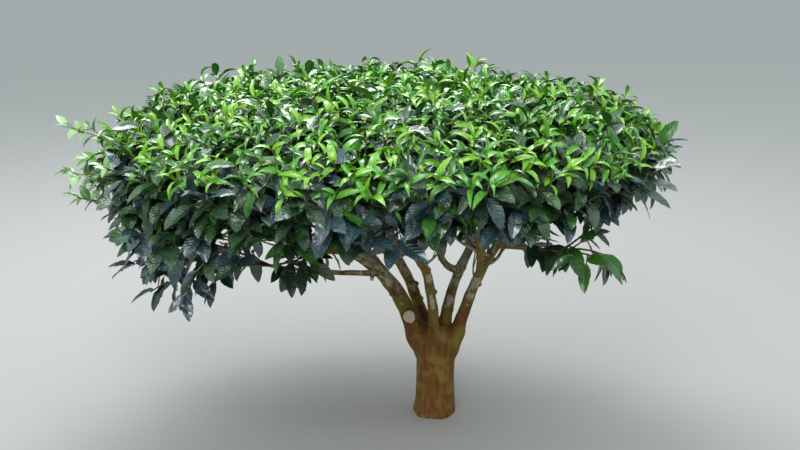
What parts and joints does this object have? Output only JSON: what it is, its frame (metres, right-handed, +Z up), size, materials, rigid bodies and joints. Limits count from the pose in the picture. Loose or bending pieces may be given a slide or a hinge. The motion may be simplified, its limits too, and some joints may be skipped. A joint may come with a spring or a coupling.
{
  "type": "tea bush",
  "caption": "Plucked tea bush with a short stout trunk that forks low, spreading boughs and a wide flat-domed crown of leafy masses.",
  "frame": {"origin": "centre of the trunk's flat cut at ground level", "axes": "+Z up along the trunk, +X along the crown's long way to the right as the picture shows it, -Y towards the viewer"},
  "size_m": [1.4929, 1.12, 0.8489],
  "materials": {
    "bark": "rough",
    "foliage": "semi-gloss"
  },
  "bodies": {
    "root": {"trunk": "bark", "bough_left": "bark", "bough_right": "bark", "bough_right_back": "bark", "bough_front": "bark", "bough_back": "bark", "bough_left_front": "bark", "bough_back_left": "bark", "bough_back_right": "bark", "bough_front_right": "bark", "bough_inner_left": "bark", "bough_inner_right": "bark", "bough_inner_front": "bark", "bough_low_left": "bark", "bough_low_right": "bark", "foliage_inner_right": "foliage", "foliage_inner_left": "foliage", "foliage_inner_front": "foliage", "foliage_right": "foliage", "foliage_right_back": "foliage", "foliage_back_right": "foliage", "foliage_back": "foliage", "foliage_back_left": "foliage", "foliage_left": "foliage", "foliage_left_front": "foliage", "foliage_front": "foliage", "foliage_front_right": "foliage", "foliage_low_left": "foliage", "foliage_low_right": "foliage"}
  },
  "joints": []
}
